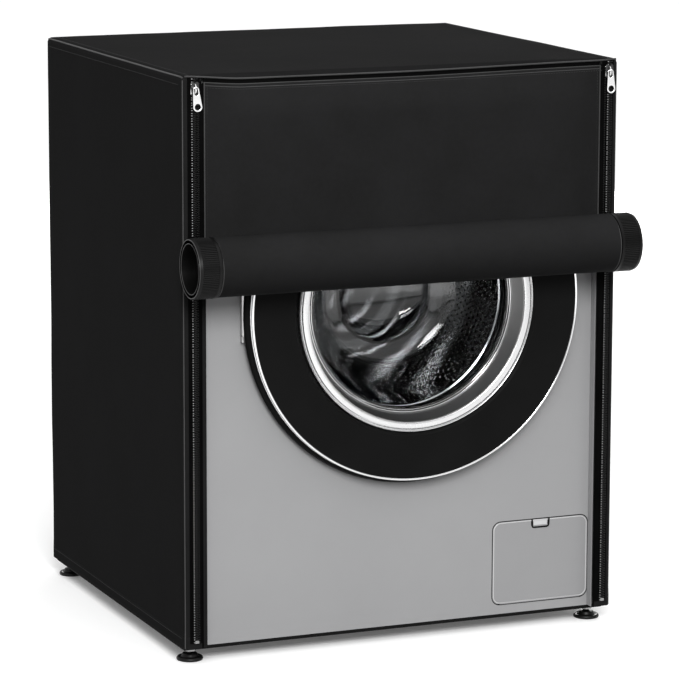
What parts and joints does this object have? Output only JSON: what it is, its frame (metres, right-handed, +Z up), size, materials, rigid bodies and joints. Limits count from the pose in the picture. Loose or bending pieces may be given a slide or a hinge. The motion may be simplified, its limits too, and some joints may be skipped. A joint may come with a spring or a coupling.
{
  "type": "washing machine with fabric dust cover",
  "caption": "Front-loading washing machine in a fitted zip-up fabric dust cover, its front flap rolled up on a tube with knurled end caps.",
  "frame": {"origin": "on the floor; front to back under the middle of the overall box at rest, and across under the middle of the cover's width, 5 mm right of the middle of that box", "axes": "+Z up, the door faces -Y, +X to the right of someone who faces the door"},
  "size_m": [0.676, 0.6966, 0.8345],
  "materials": {
    "cabinet": "satin silver lacquer on sheet steel",
    "inner_sheet": "grey lacquer on sheet steel",
    "worktop": "fine-grained laminate",
    "base": "moulded black plastic",
    "display": "smoked glossy window",
    "control": "satin metallised plastic",
    "hatch": "satin silver lacquer on moulded plastic",
    "pump": "moulded dark grey plastic",
    "filter": "moulded pale plastic",
    "rubber": "grey moulded rubber",
    "hinge": "zinc-plated steel",
    "door_black": "black plastic with a soft gloss",
    "door_chrome": "bright plated trim",
    "door_glass": "clear pressed glass",
    "door_back": "moulded black plastic",
    "lock": "moulded black plastic",
    "tub": "moulded off-white plastic",
    "bearing": "ground steel",
    "drum": "perforated stainless steel",
    "casting": "die-cast aluminium",
    "belt": "ribbed black rubber belt",
    "motor": "dark lacquered steel",
    "concrete": "cast concrete",
    "spring": "spring steel",
    "damper": "dark plastic strut",
    "foot": "black rubber pad on a steel stud",
    "nut": "zinc-plated steel",
    "cover_fabric": "matte black coated polyester with piped seams",
    "zip_tape": "black nylon zip on woven tape",
    "zip_metal": "nickel-plated zinc",
    "roll_cap": "knurled black plastic",
    "roll_tube": "black plastic tube",
    "axle": "turned steel"
  },
  "bodies": {
    "root": {"base_pan": "base", "cabinet_left_side": "cabinet", "cabinet_right_side": "cabinet", "cabinet_back": "inner_sheet", "worktop": "worktop", "front_panel": "cabinet", "control_fascia": "cabinet", "display_window": "display", "drain_pump": "pump", "sump_hose": "rubber", "door_hinge_bracket": "hinge", "door_lock": "lock", "door_gasket": "rubber", "tub_front": "tub", "tub_rear": "tub", "shaft_bearings": "bearing", "drive_belt": "belt", "motor": "motor", "counterweight": "concrete", "suspension_springs": "spring", "dampers": "damper", "foot_lock_nuts": "nut"},
    "program_knob": {"program_knob": "control"},
    "power_button": {"power_button": "door_black"},
    "start_button": {"start_button": "control"},
    "temperature_button": {"temperature_button": "hatch"},
    "spin_button": {"spin_button": "hatch"},
    "detergent_drawer": {"detergent_drawer": "hatch"},
    "service_hatch": {"service_hatch": "hatch"},
    "filter_cap": {"pump_filter_cap": "filter"},
    "door": {"door_hinge_arm": "hinge", "door_frame": "door_black", "door_trim_ring": "door_chrome", "door_inner_bezel": "door_chrome", "door_glass": "door_glass", "door_back_ring": "door_back", "door_latch_hook": "hinge"},
    "drum": {"drum": "drum", "drum_lifters": "drum", "drum_spider": "casting", "drum_pulley": "casting"},
    "motor_pulley": {"motor_pulley": "bearing"},
    "foot_front_left": {"foot_front_left": "foot"},
    "foot_front_right": {"foot_front_right": "foot"},
    "foot_back_left": {"foot_back_left": "foot"},
    "foot_back_right": {"foot_back_right": "foot"},
    "cover": {"cover_top": "cover_fabric", "cover_left": "cover_fabric", "cover_right": "cover_fabric", "cover_back": "cover_fabric", "zip_chains": "zip_tape"},
    "zip_slider_left": {"zip_slider_left": "zip_metal"},
    "zip_slider_right": {"zip_slider_right": "zip_metal"},
    "zip_puller_left": {"zip_puller_left": "zip_metal"},
    "zip_puller_right": {"zip_puller_right": "zip_metal"},
    "flap": {"flap_sheet": "cover_fabric"},
    "roll_carriage": {"roller_axle": "axle"},
    "roll": {"flap_roll": "cover_fabric", "roller_tube": "roll_tube", "roller_end_caps": "roll_cap"}
  },
  "joints": [
    {"name": "door_swing", "type": "hinge", "parent": "root", "child": "door", "pos_m": [-0.238, -0.23425, 0.492], "axis": [0, 0, -1], "range_deg": [0, 82]},
    {"name": "flap_lift", "type": "hinge", "parent": "cover", "child": "flap", "pos_m": [0, -0.25175, 0.833], "axis": [-1, 0, 0], "range_deg": [0, 246]},
    {"name": "drawer_slide", "type": "slide", "parent": "root", "child": "detergent_drawer", "axis": [0, -1, 0], "range_m": [0, 0.2]},
    {"name": "cover_lift", "type": "slide", "parent": "root", "child": "cover", "axis": [0, 0, 1], "range_m": [0, 0.85]},
    {"name": "roll_travel", "type": "slide", "parent": "flap", "child": "roll_carriage", "axis": [0, 0, -1], "range_m": [0, 0.5], "deforming": ["flap_sheet"]},
    {"name": "roll_spin", "type": "hinge", "parent": "roll_carriage", "child": "roll", "pos_m": [-0.009, -0.30625, 0.574], "axis": [1, 0, 0], "range_deg": [0, 691]},
    {"name": "drum_spin", "type": "hinge", "parent": "root", "child": "drum", "pos_m": [0.016, -0.02975, 0.492], "axis": [0, 1, 0], "continuous": true},
    {"name": "motor_spin", "type": "hinge", "parent": "root", "child": "motor_pulley", "pos_m": [-0.054, 0.21025, 0.118], "axis": [0, 1, 0], "continuous": true},
    {"name": "program_turn", "type": "hinge", "parent": "root", "child": "program_knob", "pos_m": [0.06, -0.22975, 0.78375], "axis": [0, 1, 0], "continuous": true},
    {"name": "hatch_swing", "type": "hinge", "parent": "root", "child": "service_hatch", "pos_m": [0.2265, -0.22975, 0.0382], "axis": [1, 0, 0], "range_deg": [0, 95]},
    {"name": "filter_turn", "type": "hinge", "parent": "root", "child": "filter_cap", "pos_m": [0.2265, -0.19975, 0.098], "axis": [0, 1, 0], "continuous": true},
    {"name": "power_press", "type": "slide", "parent": "root", "child": "power_button", "axis": [0, 1, 0], "range_m": [0, 0.0015], "stiffness_N_per_m": 400, "springref_m": -0.001},
    {"name": "start_press", "type": "slide", "parent": "root", "child": "start_button", "axis": [0, 1, 0], "range_m": [0, 0.0015], "stiffness_N_per_m": 400, "springref_m": -0.001},
    {"name": "temperature_press", "type": "slide", "parent": "root", "child": "temperature_button", "axis": [0, 1, 0], "range_m": [0, 0.0015], "stiffness_N_per_m": 400, "springref_m": -0.001},
    {"name": "spin_press", "type": "slide", "parent": "root", "child": "spin_button", "axis": [0, 1, 0], "range_m": [0, 0.0015], "stiffness_N_per_m": 400, "springref_m": -0.001},
    {"name": "zip_left_slide", "type": "slide", "parent": "cover", "child": "zip_slider_left", "axis": [0, 0, -1], "range_m": [0, 0.74]},
    {"name": "puller_left_flip", "type": "hinge", "parent": "zip_slider_left", "child": "zip_puller_left", "pos_m": [-0.3125, -0.25425, 0.815], "axis": [-1, 0, 0], "range_deg": [0, 170]},
    {"name": "zip_right_slide", "type": "slide", "parent": "cover", "child": "zip_slider_right", "axis": [0, 0, -1], "range_m": [0, 0.74]},
    {"name": "puller_right_flip", "type": "hinge", "parent": "zip_slider_right", "child": "zip_puller_right", "pos_m": [0.3125, -0.25425, 0.815], "axis": [-1, 0, 0], "range_deg": [0, 170]},
    {"name": "foot_front_left_turn", "type": "hinge", "parent": "root", "child": "foot_front_left", "pos_m": [-0.312, -0.21175, 0.01], "axis": [0, 0, 1], "continuous": true},
    {"name": "foot_front_right_turn", "type": "hinge", "parent": "root", "child": "foot_front_right", "pos_m": [0.312, -0.21175, 0.01], "axis": [0, 0, 1], "continuous": true},
    {"name": "foot_back_left_turn", "type": "hinge", "parent": "root", "child": "foot_back_left", "pos_m": [-0.312, 0.31725, 0.01], "axis": [0, 0, 1], "continuous": true},
    {"name": "foot_back_right_turn", "type": "hinge", "parent": "root", "child": "foot_back_right", "pos_m": [0.312, 0.31725, 0.01], "axis": [0, 0, 1], "continuous": true}
  ],
  "couplings": [
    {"joint": "flap_lift", "follows": "door_swing", "ratio": 3},
    {"joint": "drawer_slide", "follows": "door_swing", "m_per_rad": 0.1397},
    {"joint": "roll_spin", "follows": "roll_travel", "rad_per_m": 24.096},
    {"joint": "motor_spin", "follows": "drum_spin", "ratio": 10.343}
  ]
}
